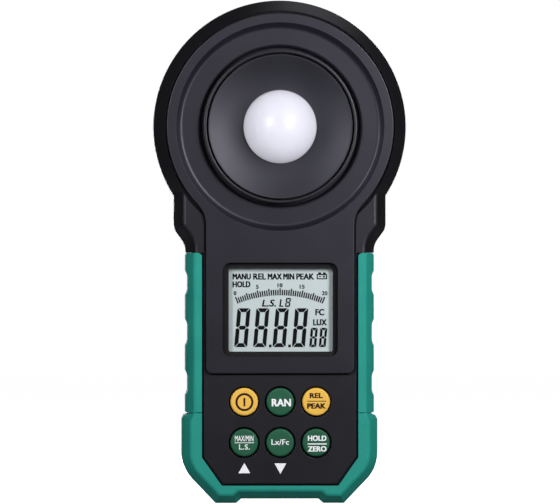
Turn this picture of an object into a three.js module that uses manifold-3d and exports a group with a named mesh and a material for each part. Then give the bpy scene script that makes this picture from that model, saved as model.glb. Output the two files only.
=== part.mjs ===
// Handheld light meter: a round sensor head on a display neck and a rubber-jacketed grip.
// Millimetres. +Z runs up the length, the face looks along -Y, X is the width.
// The origin is the middle of the footprint, on the surface that the feet stand on.

import * as THREE from 'three';
import { mergeVertices } from 'three/addons/utils/BufferGeometryUtils.js';
import Module from 'manifold-3d';

const wasm = await Module();
wasm.setup();

// ---------------------------------------------------------------- driving dimensions

const GAP = 0.3; // clearance between neighbouring pieces
const WALL = 2.2; // moulded shell wall

// Outline, seen from the front
const HEIGHT = 205.9;
const HEAD_RADIUS = 51.8;
const HEAD_Z = HEIGHT - HEAD_RADIUS;
const SHOULDER_HALF = 43.4;
const SHOULDER_Z = 114.2; // where the shoulder starts to draw in
const NECK_HALF = 38.6;
const NECK_Z = 105.2; // where the shoulder has drawn in
const JACKET_TOP = 102.5;
const BUMPER_HALF = 40.0; // widest part of the grip, at the bottom
const SCALLOP_DEPTH = 0.95; // finger recesses in the sides of the jacket
const CORE_HALF = 35.6; // shell inside the jacket
const DECK_HALF = 31.4; // bare panel between the jacket's lips

// Depth, front to back
const FACE_Y = -13.0;
const RIM_Y = -12.4;
const DECK_Y = -11.2;
const PLATE_BACK_Y = -10.2;
const POCKET_Y = PLATE_BACK_Y + GAP;
const INNER_FRONT_Y = POCKET_Y + WALL;
const KEY_INNER_Y = DECK_Y + WALL;
const PARTING_Y = 6.0;
const BACK_Y = 23.0;
const INNER_BACK_Y = BACK_Y - WALL;
const CORE_FRONT_Y = -8.5; // the shell steps back under the jacket's lip
const CORE_BACK_Y = 20.3;

// Sensor
const DOME_TIP_Y = -23.0;
const DOME_RADIUS = 14.7;
const DOME_BASE_Y = -12.2;
const DOME_WALL = 1.5;
const DISH_RADIUS = 29.5;
const RING_INNER = 30.2;
const RING_OUTER = 31.4;
const SENSOR_BOARD_Y = -3.6;
const BOARD = 1.6; // circuit board thickness
const HEAD_SIDES = 48; // facets of the round parts of the head

// Display
const WINDOW = { width: 47.1, height: 38.4, z: 79.3, corner: 3.0 };
const PANEL = { width: 50.0, height: 41.0, front: -7.4, back: -5.0 };

// Keys
const KEY_PITCH_X = 14.7;
const KEY_ROWS_Z = [41.6, 24.9];
const KEY_RADIUS = 5.65;
const KEY_HOLE = 6.1;
const KEY_SIDES = 20;
const KEY_FRONT_Y = -12.5;
const KEY_BACK_Y = -7.9;

// Battery bay and tilt stand
const DOOR = { half: 16.6, bottom: 9.6, top: 73.4 };
const BAY = { half: 14.0, bottom: 17.5, top: 71.4, front: 1.4 };
const STAND = { half: 20.0, bottom: 79.5, hingeY: 21.0, hingeZ: 114.5, knuckle: 2.0 };

// Case screws, as (x, z) of the right-hand one of each pair
const CASE_SCREWS = [[33.0, 180.0], [31.0, 110.0], [24.5, 22.0]];

// ---------------------------------------------------------------- materials

const finish = (color, roughness, metalness = 0) =>
  new THREE.MeshStandardMaterial({ color, roughness, metalness });

const blackPlastic = finish(0x1d1d1f, 0.5);
const charcoalPlastic = finish(0x36353b, 0.6);
const greenRubber = finish(0x1d8a79, 0.75);
const greyDish = finish(0x5c5d66, 0.45);
const whiteDome = finish(0xe9e8f2, 0.35);
const clearLens = finish(0x20242a, 0.1);
const displayGlass = finish(0xb4c8c5, 0.25);
const goldKey = finish(0xeebe55, 0.5);
const greenKey = finish(0x23644a, 0.5);
const siliconeMat = finish(0x8a8c8e, 0.8);
const whitePlastic = finish(0xdedfe0, 0.5);
const boardGreen = finish(0x1c5a36, 0.55);
const steel = finish(0xb4b6b8, 0.35, 0.9);
const chipBlack = finish(0x151515, 0.6);
const filterGlass = finish(0x6f9fa0, 0.15);
const orangeFlex = finish(0xc8842c, 0.5);
const batteryCase = finish(0x3c4a5c, 0.4);
const redWire = finish(0xb4221c, 0.55);
const blackWire = finish(0x1a1a1a, 0.55);
const greyFoam = finish(0x55565a, 0.95);

// ---------------------------------------------------------------- shape helpers

// A flat outline in x and z, as a closed slab between two depths.
function slab(shape, yFront, yBack, curveSegments = 6) {
  const depth = yBack - yFront;
  const geometry = new THREE.ExtrudeGeometry(shape, { depth, bevelEnabled: false, curveSegments });
  return geometry.rotateX(Math.PI / 2).translate(0, yBack, 0);
}

// The same, with both its edges drawn in by `width` over `depth`, in `steps` facets.
function softSlab(shape, yFront, yBack, width, depth, steps, curveSegments = 6) {
  const geometry = new THREE.ExtrudeGeometry(shape, {
    depth: yBack - yFront - 2 * depth,
    bevelEnabled: true,
    bevelThickness: depth,
    bevelSize: width,
    bevelOffset: -width,
    bevelSegments: steps,
    curveSegments,
  });
  return geometry.rotateX(Math.PI / 2).translate(0, yBack - depth, 0);
}

// A profile of [radius, y] points turned about a line along Y through (x, z).
function turned(profile, x, z, segments = 24) {
  let area = 0;
  profile.forEach(([r, y], i) => {
    const [nextR, nextY] = profile[(i + 1) % profile.length];
    area += r * nextY - nextR * y;
  });
  const ordered = area > 0 ? profile : [...profile].reverse();
  const points = ordered.map(([r, y]) => new THREE.Vector2(r, y));
  return new THREE.LatheGeometry(points, segments).translate(x, 0, z);
}

const disc = (x, z, radius, yFront, yBack, segments = 24) =>
  turned([[0, yFront], [radius, yFront], [radius, yBack], [0, yBack]], x, z, segments);

const block = (x0, x1, y0, y1, z0, z1) =>
  new THREE.BoxGeometry(x1 - x0, y1 - y0, z1 - z0)
    .translate((x0 + x1) / 2, (y0 + y1) / 2, (z0 + z1) / 2);

// A round bar along X.
const crossBar = (x0, x1, y, z, radius, segments = 16) =>
  new THREE.CylinderGeometry(radius, radius, x1 - x0, segments)
    .rotateZ(Math.PI / 2).translate((x0 + x1) / 2, y, z);

// A side profile of [y, z] points, drawn out along X.
function sideProfile(points, x0, x1) {
  const shape = new THREE.Shape(points.map(([y, z]) => new THREE.Vector2(y, z)));
  const geometry = new THREE.ExtrudeGeometry(shape, { depth: x1 - x0, bevelEnabled: false });
  const axes = new THREE.Matrix4().makeBasis(
    new THREE.Vector3(0, 1, 0), new THREE.Vector3(0, 0, 1), new THREE.Vector3(1, 0, 0));
  return geometry.applyMatrix4(axes).translate(x0, 0, 0);
}

function roundedBox(width, height, z, corner) {
  const x = width / 2;
  const h = height / 2;
  const shape = new THREE.Shape();
  shape.moveTo(-x + corner, z - h);
  shape.lineTo(x - corner, z - h);
  shape.absarc(x - corner, z - h + corner, corner, -Math.PI / 2, 0);
  shape.lineTo(x, z + h - corner);
  shape.absarc(x - corner, z + h - corner, corner, 0, Math.PI / 2);
  shape.lineTo(-x + corner, z + h);
  shape.absarc(-x + corner, z + h - corner, corner, Math.PI / 2, Math.PI);
  shape.lineTo(-x, z - h + corner);
  shape.absarc(-x + corner, z - h + corner, corner, Math.PI, 1.5 * Math.PI);
  return shape;
}

// A closed outline from its right-hand half, given from top to bottom.
function mirrored(half) {
  const left = [...half].reverse().map(([x, z]) => [-x, z]);
  return new THREE.Shape([...left, ...half].map(([x, z]) => new THREE.Vector2(x, z)));
}

// Points on a quadratic curve, without its first point.
function curve(from, control, to, steps) {
  const path = new THREE.QuadraticBezierCurve(
    new THREE.Vector2(...from), new THREE.Vector2(...control), new THREE.Vector2(...to));
  return path.getPoints(steps).slice(1).map((p) => [p.x, p.y]);
}

// Points along a round stretch, from one angle to another, both included.
function arc(x, z, radius, from, to, steps) {
  return Array.from({ length: steps + 1 }, (_, i) => {
    const angle = from + ((to - from) * i) / steps;
    return [x + radius * Math.cos(angle), z + radius * Math.sin(angle)];
  });
}

function solid(geometry) {
  const bare = geometry.clone();
  bare.deleteAttribute('normal');
  bare.deleteAttribute('uv');
  const merged = mergeVertices(bare, 1e-4);
  const corners = [...merged.index.array];
  const triangles = [];
  for (let i = 0; i < corners.length; i += 3) {
    const [a, b, c] = corners.slice(i, i + 3);
    if (a !== b && b !== c && c !== a) triangles.push(a, b, c);
  }
  return new wasm.Manifold(new wasm.Mesh({
    numProp: 3,
    vertProperties: new Float32Array(merged.attributes.position.array),
    triVerts: new Uint32Array(triangles),
  }));
}

const join = (...geometries) => geometries.map(solid).reduce((all, next) => all.add(next));
const cut = (body, ...geometries) => geometries.map(solid).reduce((all, next) => all.subtract(next), body);

const meter = new THREE.Group();

// Adds one named piece, from a geometry or from a solid.
function piece(name, shape, material) {
  let geometry = shape;
  if (!shape.isBufferGeometry) {
    const { numProp, vertProperties, triVerts } = shape.getMesh();
    const position = new Float32Array((vertProperties.length / numProp) * 3);
    for (let i = 0; i < position.length / 3; i += 1) {
      position.set(vertProperties.subarray(i * numProp, i * numProp + 3), 3 * i);
    }
    geometry = new THREE.BufferGeometry();
    geometry.setAttribute('position', new THREE.BufferAttribute(position, 3));
    geometry.setIndex(new THREE.BufferAttribute(new Uint32Array(triVerts), 1));
    geometry.computeVertexNormals();
  }
  const mesh = new THREE.Mesh(geometry, material);
  mesh.name = name;
  meter.add(mesh);
}

const bothSides = (make) => [make(1), make(-1)];

// ---------------------------------------------------------------- outlines

// Shell inside the jacket, and the bare deck that shows between the jacket's lips.
const coreOutline = (grow) => mirrored([
  [CORE_HALF + grow, NECK_Z],
  [CORE_HALF + grow, 19.8 - grow / 2],
  [25.2 + grow / 2, 4.2 - grow],
]);
const deckOutline = (grow) => mirrored([
  [DECK_HALF + grow, NECK_Z],
  [DECK_HALF + grow, 19.1 - grow / 2],
  [23.5 + grow / 2, 7.9 - grow],
]);

const shoulderOutline = mirrored([
  [SHOULDER_HALF, HEAD_Z - 14],
  [SHOULDER_HALF, SHOULDER_Z],
  ...curve([SHOULDER_HALF, SHOULDER_Z], [SHOULDER_HALF, 111.4], [41.0, 109.5], 3),
  ...curve([41.0, 109.5], [NECK_HALF, 107.2], [NECK_HALF, NECK_Z], 3),
  [NECK_HALF, 90],
]);

// Face plate: a disc that runs into the display panel, with hollow corners between them.
const PLATE = { disc: 46.5, half: 30.4, bottom: 53.1, corner: 2.5, fillet: 12, steps: 30 };
function plateOutline(grow) {
  const radius = PLATE.disc + grow;
  const half = PLATE.half + grow;
  const fillet = PLATE.fillet - grow;
  const corner = PLATE.corner + grow;
  const filletX = half + fillet;
  const drop = Math.sqrt((radius + fillet) ** 2 - filletX ** 2);
  const turn = Math.atan2(drop, filletX); // where the disc meets the fillet, below the horizontal
  const step = (Math.PI / 2 + turn) / (PLATE.steps + 0.5);
  return mirrored([
    ...arc(0, HEAD_Z, radius, (Math.PI - step) / 2, -turn, PLATE.steps),
    ...arc(filletX, HEAD_Z - drop, fillet, Math.PI - turn, Math.PI, 6).slice(1),
    ...arc(half - corner, PLATE.bottom - grow + corner, corner, 0, -Math.PI / 2, 4),
  ]);
}

// Rubber jacket, with finger recesses in its sides, a wide bumper and two feet.
const RECESSES_Z = [[95.3, 85.3], [75.4, 64.6], [54.4, 44.2]]; // top and bottom of each
const FEET = { outer: 26.3, inner: 18.0, recessHalf: 15.7, recess: 1.8 };
const SLOPE = 1.9; // height of a recess's sloping end
const jacketHalf = [[NECK_HALF, JACKET_TOP + 10]]; // trimmed level with the neck later
for (const [top, bottom] of RECESSES_Z) {
  jacketHalf.push([NECK_HALF, top]);
  jacketHalf.push([NECK_HALF - SCALLOP_DEPTH, top - SLOPE]);
  jacketHalf.push([NECK_HALF - SCALLOP_DEPTH, bottom + SLOPE]);
  jacketHalf.push([NECK_HALF, bottom]);
}
jacketHalf.push([NECK_HALF, 37.2], [BUMPER_HALF, 34.4], [BUMPER_HALF, 19.1]);
jacketHalf.push(...curve([BUMPER_HALF, 19.1], [39.4, 13.4], [35.1, 9.2], 4));
jacketHalf.push([FEET.outer, 0], [FEET.inner, 0], [FEET.recessHalf, FEET.recess]);
const jacketOutline = mirrored(jacketHalf);

// ---------------------------------------------------------------- housing shells

const headBody = turned([
  [0, RIM_Y],
  [46.9, RIM_Y],
  [HEAD_RADIUS, -4.5],
  [HEAD_RADIUS, 15.0],
  [46.0, BACK_Y],
  [0, BACK_Y],
], 0, HEAD_Z, HEAD_SIDES);
const neckBody = solid(softSlab(shoulderOutline, DECK_Y, BACK_Y, 4.2, 6.7, 1))
  .intersect(solid(block(-60, 60, -30, 30, JACKET_TOP + GAP, HEIGHT)));
const coreBody = slab(coreOutline(0), CORE_FRONT_Y, CORE_BACK_Y);
const deckBody = slab(deckOutline(0), DECK_Y, BACK_Y);
const body = join(headBody, coreBody, deckBody).add(neckBody);

const cavity = join(
  turned([
    [0, INNER_FRONT_Y],
    [46.6, INNER_FRONT_Y],
    [49.5, -3.4],
    [49.5, 14.3],
    [44.6, INNER_BACK_Y],
    [0, INNER_BACK_Y],
  ], 0, HEAD_Z, 32),
  block(-36.2, 36.2, INNER_FRONT_Y, INNER_BACK_Y, 100, HEAD_Z - 14),
  slab(coreOutline(-WALL), INNER_FRONT_Y + 1.4, CORE_BACK_Y - WALL),
  block(-29.2, 29.2, INNER_FRONT_Y, INNER_BACK_Y, 24, 101),
  block(-22.6, 22.6, KEY_INNER_Y, INNER_FRONT_Y + 2, 15.5, 51.0),
);

const frontHalf = block(-60, 60, -30, PARTING_Y - GAP / 2, -1, HEIGHT + 1);
const rearHalf = block(-60, 60, PARTING_Y + GAP / 2, 30, -1, HEIGHT + 1);

// Front shell: pocket for the face plate, sensor and display openings, key holes and screw posts.
const SENSOR_HOLE = 18.3;
const SENSOR_POSTS = [90, 210, 330].map((angle) => {
  const turn = THREE.MathUtils.degToRad(angle);
  return [21.3 * Math.cos(turn), HEAD_Z + 21.3 * Math.sin(turn)];
});
const SCREW = { head: 2.7, headTop: 11.2, seat: 9.2, shank: 1.25, tip: -2.8 };
const keyPlaces = KEY_ROWS_Z.flatMap((z) => [-1, 0, 1].map((column) => [column * KEY_PITCH_X, z]));
const screwPlaces = CASE_SCREWS.flatMap(([x, z]) => bothSides((side) => [side * x, z]));

let frontShell = body.intersect(solid(frontHalf)).subtract(cavity);
for (const [x, z] of screwPlaces) {
  frontShell = frontShell.add(solid(disc(x, z, 3.2, KEY_INNER_Y - 0.5, PARTING_Y - GAP / 2, 12)));
}
for (const [x, z] of SENSOR_POSTS) {
  frontShell = frontShell.add(solid(disc(x, z, 2.4, POCKET_Y + 1, SENSOR_BOARD_Y - GAP, 12)));
}
frontShell = cut(
  frontShell,
  slab(plateOutline(GAP), -20, POCKET_Y),
  disc(0, HEAD_Z, SENSOR_HOLE, -20, 0, 32),
  slab(roundedBox(43.5, 35.0, WINDOW.z, 1.5), -20, 0, 3),
  ...keyPlaces.map(([x, z]) => disc(x, z, KEY_HOLE, -20, -5, KEY_SIDES)),
  ...screwPlaces.map(([x, z]) => disc(x, z, SCREW.shank + GAP, SCREW.tip - 0.4, 10, 8)),
  ...SENSOR_POSTS.map(([x, z]) => disc(x, z, 1.2, -6.9, 0, 10)),
);
piece('front_housing', frontShell, blackPlastic);

// Rear shell: battery bay, door recess, stand recess with hinge ears, and deep screw wells.
const STAND_RECESS = { half: STAND.half + GAP, bottom: 77.5, top: 117.3, floor: 19.9 };
const KNUCKLE_FLOOR = STAND.hingeY - STAND.knuckle - 0.4;
const PIN_RADIUS = 0.85;
let rearShell = body.intersect(solid(rearHalf)).subtract(cavity);
rearShell = rearShell.add(join(
  block(-BAY.half - 1.5, BAY.half + 1.5, BAY.front - 1.2, 21, BAY.bottom - 1.5, BAY.top + 1.5),
  block(-DOOR.half - 2.2, DOOR.half + 2.2, 17.9, 21.5, DOOR.bottom - 1.6, DOOR.top + 2.2),
  block(-26, 26, 16.4, 21.5, STAND_RECESS.bottom - 2, STAND_RECESS.top + 2.2),
));
for (const [x, z] of screwPlaces) {
  rearShell = rearShell.add(solid(disc(x, z, 4.2, PARTING_Y + GAP / 2, INNER_BACK_Y + 0.5, 12)));
}
rearShell = cut(
  rearShell,
  block(-BAY.half, BAY.half, BAY.front, 30, BAY.bottom, BAY.top),
  block(-DOOR.half - GAP, DOOR.half + GAP, 20.6, 30, DOOR.bottom - GAP, DOOR.top + GAP),
  block(-6.5, 6.5, BAY.front, 13.5, BAY.top - 1, BAY.top + 4),
  block(-STAND_RECESS.half, STAND_RECESS.half, STAND_RECESS.floor, 30,
    STAND_RECESS.bottom, STAND_RECESS.top),
  block(-STAND_RECESS.half, STAND_RECESS.half, KNUCKLE_FLOOR, 30, 111, STAND_RECESS.top),
  crossBar(-24.3, 24.3, STAND.hingeY, STAND.hingeZ, PIN_RADIUS + GAP),
  disc(0, 13.4, 1.5, 15, 30, 12),
  ...screwPlaces.map(([x, z]) => disc(x, z, SCREW.head + GAP, SCREW.seat - GAP, 30, 12)),
  ...screwPlaces.map(([x, z]) => disc(x, z, SCREW.shank + GAP, 5, 10, 8)),
);
piece('rear_housing', rearShell, blackPlastic);

screwPlaces.forEach(([x, z], i) => {
  const screw = join(
    disc(x, z, SCREW.head, SCREW.seat, SCREW.headTop, 12),
    disc(x, z, SCREW.shank, SCREW.tip, SCREW.seat + 0.5, 8),
  );
  const slots = [
    block(x - 1.6, x + 1.6, SCREW.headTop - 0.9, 30, z - 0.35, z + 0.35),
    block(x - 0.35, x + 0.35, SCREW.headTop - 0.9, 30, z - 1.6, z + 1.6),
  ];
  piece(`case_screw_${i + 1}`, cut(screw, ...slots), steel);
});

// ---------------------------------------------------------------- rubber jackets

const jacket = cut(
  solid(softSlab(jacketOutline, DECK_Y, BACK_Y, 3.8, 5.0, 3)),
  slab(coreOutline(GAP), CORE_FRONT_Y - GAP, CORE_BACK_Y + GAP),
  slab(deckOutline(GAP), -20, 30),
  block(-60, 60, -30, 30, JACKET_TOP, HEIGHT),
);
piece('front_grip_jacket', jacket.intersect(solid(frontHalf)), greenRubber);
piece('rear_grip_jacket', jacket.intersect(solid(rearHalf)), greenRubber);

// ---------------------------------------------------------------- face plate and window

const HUB = { outer: 34.4, mid: 33.0, top: 32.2, front: -15.0 };
const faceplate = cut(
  solid(slab(plateOutline(0), FACE_Y, PLATE_BACK_Y)),
  turned([
    [0, -20], [42.5, -20], [42.5, FACE_Y], [39.8, -11.4], [0, -11.4],
  ], 0, HEAD_Z, HEAD_SIDES),
).add(solid(turned([
  [28, -10.8], [28, HUB.front], [HUB.top, HUB.front], [HUB.mid, -13.2], [HUB.outer, -11.4],
  [HUB.outer, -10.8], [28, -10.8],
], 0, HEAD_Z, HEAD_SIDES)));
piece('face_plate', cut(
  faceplate,
  disc(0, HEAD_Z, RING_OUTER + GAP, -20, 0, HEAD_SIDES),
  slab(roundedBox(WINDOW.width, WINDOW.height, WINDOW.z, WINDOW.corner), -20, 0, 4),
), charcoalPlastic);

piece('display_window', slab(roundedBox(
  WINDOW.width - 2 * GAP, WINDOW.height - 2 * GAP, WINDOW.z, WINDOW.corner - GAP,
), -11.7, PLATE_BACK_Y, 4), clearLens);

// ---------------------------------------------------------------- sensor

piece('retaining_ring', turned([
  [RING_INNER, -15.3], [RING_INNER + 0.3, -15.5], [RING_OUTER, -15.3],
  [RING_OUTER, PLATE_BACK_Y], [RING_INNER, PLATE_BACK_Y], [RING_INNER, -15.3],
], 0, HEAD_Z, HEAD_SIDES), charcoalPlastic);

// Shallow concave dish, deepest beside the dome.
const DISH_INNER = DOME_RADIUS + 0.6;
const DISH_STEPS = 4;
const dishProfile = [];
for (let i = 0; i <= DISH_STEPS; i += 1) {
  const t = i / DISH_STEPS;
  dishProfile.push([DISH_RADIUS + (DISH_INNER - DISH_RADIUS) * t, -14.6 + 2.6 * Math.sin(t * Math.PI / 2)]);
}
piece('sensor_dish', turned([
  ...dishProfile, [DISH_INNER, PLATE_BACK_Y], [DISH_RADIUS, PLATE_BACK_Y], dishProfile[0],
], 0, HEAD_Z, HEAD_SIDES), greyDish);

// Diffuser: a cap of a sphere with a flange behind the dish, open at the back.
const capHeight = DOME_BASE_Y - DOME_TIP_Y;
const capRadius = (DOME_RADIUS ** 2 + capHeight ** 2) / (2 * capHeight);
const capCentreY = DOME_TIP_Y + capRadius;
const capAngle = Math.asin(DOME_RADIUS / capRadius);
const domeArc = (radius, steps) =>
  Array.from({ length: steps + 1 }, (_, i) => {
    const angle = (capAngle * i) / steps;
    return [i ? radius * Math.sin(angle) : 0, capCentreY - radius * Math.cos(angle)];
  });
const FLANGE = { radius: 17.9, front: POCKET_Y, back: POCKET_Y + 1.2 };
piece('diffuser_dome', turned([
  ...domeArc(capRadius, 6),
  [DOME_RADIUS, FLANGE.front],
  [FLANGE.radius, FLANGE.front],
  [FLANGE.radius, FLANGE.back],
  [DOME_RADIUS - DOME_WALL, FLANGE.back],
  ...domeArc(capRadius - DOME_WALL, 3).reverse(),
], 0, HEAD_Z, 32), whiteDome);

piece('filter_holder', turned([
  [8.3, -9.4], [12.0, -9.4], [12.0, SENSOR_BOARD_Y - GAP], [7.6, SENSOR_BOARD_Y - GAP],
  [7.6, -6.2], [8.3, -6.2], [8.3, -9.4],
], 0, HEAD_Z, 24), blackPlastic);
piece('colour_filter', disc(0, HEAD_Z, 8.0, -9.0, -6.5), filterGlass);
piece('photodiode', block(-5.1, 5.1, -5.9, SENSOR_BOARD_Y - GAP, HEAD_Z - 5.1, HEAD_Z + 5.1), chipBlack);
piece('sensor_board', cut(
  solid(disc(0, HEAD_Z, 24.5, SENSOR_BOARD_Y, SENSOR_BOARD_Y + BOARD, 32)),
  ...SENSOR_POSTS.map(([x, z]) => disc(x, z, 1.2, -9, 0, 10)),
), boardGreen);
SENSOR_POSTS.forEach(([x, z], i) => {
  const seat = SENSOR_BOARD_Y + BOARD + GAP;
  piece(`sensor_board_screw_${i + 1}`, cut(
    join(disc(x, z, 2.1, seat, seat + 1.4, 12), disc(x, z, 0.9, -6.6, seat + 0.3, 10)),
    block(x - 1.5, x + 1.5, seat + 0.8, 5, z - 0.25, z + 0.25),
  ), steel);
});

// ---------------------------------------------------------------- display stack

piece('lcd_panel', slab(roundedBox(PANEL.width, PANEL.height, WINDOW.z, 0.8),
  PANEL.front, PANEL.back, 2), displayGlass);
const STACK = { front: PANEL.back + GAP, back: -2.3 };
piece('lcd_backlight', block(-24, 24, STACK.front, STACK.back, WINDOW.z - 16, WINDOW.z + 16), whitePlastic);
for (const [name, side] of [['upper_contact_strip', 1], ['lower_contact_strip', -1]]) {
  const z = WINDOW.z + side * 18.2;
  piece(name, block(-23, 23, STACK.front, STACK.back, z - 1.1, z + 1.1), siliconeMat);
}
piece('lcd_frame', cut(
  solid(slab(roundedBox(56, 47, WINDOW.z, 1.5), PANEL.front, STACK.back, 2)),
  slab(roundedBox(PANEL.width + 2 * GAP, PANEL.height + 2 * GAP, WINDOW.z, 1.0), -20, 0, 2),
), whitePlastic);

// ---------------------------------------------------------------- main board and what it carries

const BOARD_FRONT_Y = -2.0;
const BOARD_BACK_Y = BOARD_FRONT_Y + BOARD;
const boardOutline = mirrored([[25, 122], [25, 98], [31, 98], [31, 21], [26, 12.8]]);
piece('main_board', cut(
  solid(slab(boardOutline, BOARD_FRONT_Y, BOARD_BACK_Y)),
  ...bothSides((side) => disc(side * CASE_SCREWS[2][0], CASE_SCREWS[2][1], 3.6, -5, 5, 16)),
), boardGreen);
piece('meter_chip', block(-7, 7, BOARD_BACK_Y + GAP, 1.6, 84, 98), chipBlack);
piece('crystal', slab(roundedBox(10, 3.6, 78.5, 1.7), BOARD_BACK_Y + GAP, 3.4, 3), steel);
piece('buzzer', turned([
  [0, BOARD_BACK_Y + GAP], [6, BOARD_BACK_Y + GAP], [6, 6.6], [1, 6.6], [1, 5.4], [0, 5.4],
], 20, 88, 16), chipBlack);
piece('ribbon_connector', block(-8, 8, BOARD_BACK_Y + GAP, 3.0, 113.5, 117.5), whitePlastic);
piece('sensor_ribbon', sideProfile([
  [-1.7, 137], [-1.7, 131.2], [1.2, 124.6], [1.2, 117.8], [1.6, 117.8], [1.6, 124.8],
  [-1.3, 131.4], [-1.3, 137],
], -6, 6), orangeFlex);

// ---------------------------------------------------------------- keypad

const MAT_FRONT_Y = -3.1;
const MAT_DOME_Y = -6.4;
piece('keypad_mat', join(
  slab(roundedBox(41.4, 33.5, 33.25, 1.5), MAT_FRONT_Y, BOARD_FRONT_Y - GAP, 2),
  ...keyPlaces.map(([x, z]) => turned([
    [0, MAT_DOME_Y], [3.4, MAT_DOME_Y], [5.2, MAT_FRONT_Y + 0.2], [0, MAT_FRONT_Y + 0.2],
  ], x, z, 12)),
), siliconeMat);

const KEYS = [
  ['power_button', goldKey], ['range_button', greenKey], ['rel_peak_button', goldKey],
  ['max_min_button', greenKey], ['unit_button', greenKey], ['hold_zero_button', greenKey],
];
KEYS.forEach(([name, material], i) => {
  const [x, z] = keyPlaces[i];
  piece(name, turned([
    [0, KEY_FRONT_Y], [4.9, KEY_FRONT_Y], [KEY_RADIUS, KEY_FRONT_Y + 0.7],
    [KEY_RADIUS, KEY_INNER_Y + GAP], [6.7, KEY_INNER_Y + GAP], [6.7, KEY_BACK_Y], [0, KEY_BACK_Y],
  ], x, z, KEY_SIDES), material);
});

// ---------------------------------------------------------------- battery bay

const BATTERY = { half: 13.25, front: 1.7, back: 19.2, bottom: 17.9, top: 64.3 };
piece('battery', join(
  block(-BATTERY.half, BATTERY.half, BATTERY.front, BATTERY.back, BATTERY.bottom, BATTERY.top),
  ...bothSides((side) => new THREE.CylinderGeometry(3.6, 3.6, 3.0, 16)
    .rotateX(Math.PI / 2).translate(side * 6.35, 10.4, BATTERY.top + 1.1)),
), batteryCase);
const SNAP = { bottom: BATTERY.top + GAP, top: 69.4 };
piece('battery_snap', cut(
  solid(block(-12.6, 12.6, 4.2, 16.6, SNAP.bottom, SNAP.top)),
  ...bothSides((side) => new THREE.CylinderGeometry(4.0, 4.0, 3.4, 16)
    .rotateX(Math.PI / 2).translate(side * 6.35, 10.4, SNAP.bottom + 1.3)),
), blackPlastic);

// The two leads run from the snap, out of the bay and down to the board.
const LEAD_RADIUS = 0.65;
const leadSection = new THREE.Shape();
leadSection.absarc(0, 0, LEAD_RADIUS, 0, 2 * Math.PI, false);
for (const [name, x, material] of [['red_lead', 3.4, redWire], ['black_lead', -3.4, blackWire]]) {
  const route = new THREE.CatmullRomCurve3([
    new THREE.Vector3(x, 10.2, SNAP.top + GAP),
    new THREE.Vector3(x, 9.6, 72.0),
    new THREE.Vector3(x * 1.2, 6.4, 74.4),
    new THREE.Vector3(x * 1.6, 2.6, 74.2),
    new THREE.Vector3(x * 1.8, BOARD_BACK_Y + GAP, 74.2),
  ]);
  piece(name, new THREE.ExtrudeGeometry(leadSection, {
    extrudePath: route, steps: 8, curveSegments: 4, bevelEnabled: false,
  }), material);
}

piece('battery_foam_pad', slab(roundedBox(22, 38, 41, 1), 19.5, 20.6, 2), greyFoam);
piece('battery_door', cut(
  solid(softSlab(roundedBox(2 * DOOR.half, DOOR.top - DOOR.bottom, (DOOR.top + DOOR.bottom) / 2, 2),
    18.9, BACK_Y, 0.5, 0.5, 1, 3)).intersect(solid(block(-20, 20, 20.9, 30, 0, 80))),
  disc(0, 13.4, 2.9, 21.7, 30, 16),
  disc(0, 13.4, 1.5, 15, 30, 12),
  ...[62, 64.5, 67].map((z) => block(-7, 7, 22.4, 30, z - 0.6, z + 0.6)),
), blackPlastic);
piece('door_screw', cut(
  join(disc(0, 13.4, 2.5, 22.0, 22.9, 16), disc(0, 13.4, 1.2, 17.0, 22.3, 12)),
  block(-1.7, 1.7, 22.5, 30, 13.05, 13.75),
), steel);

// ---------------------------------------------------------------- tilt stand

const standOutline = mirrored([
  [STAND.half, STAND.hingeZ],
  [STAND.half, 84],
  ...curve([STAND.half, 84], [STAND.half, STAND.bottom], [15, STAND.bottom], 4),
  [7, STAND.bottom],
  ...curve([7, STAND.bottom], [5.5, 82.4], [2, 82.4], 3),
]);
piece('tilt_stand', cut(
  join(
    slab(standOutline, 20.3, 22.8),
    crossBar(-STAND.half, STAND.half, STAND.hingeY, STAND.hingeZ, STAND.knuckle, 20),
  ),
  crossBar(-30, 30, STAND.hingeY, STAND.hingeZ, PIN_RADIUS + GAP),
  slab(roundedBox(24, 16, 99, 2), 21.9, 30, 3),
), blackPlastic);
piece('stand_pin', crossBar(-24, 24, STAND.hingeY, STAND.hingeZ, PIN_RADIUS, 12), steel);

export default meter;
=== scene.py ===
"""A handheld light meter on a pale floor: round sensor head, display neck and jacketed grip."""

import math

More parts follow.
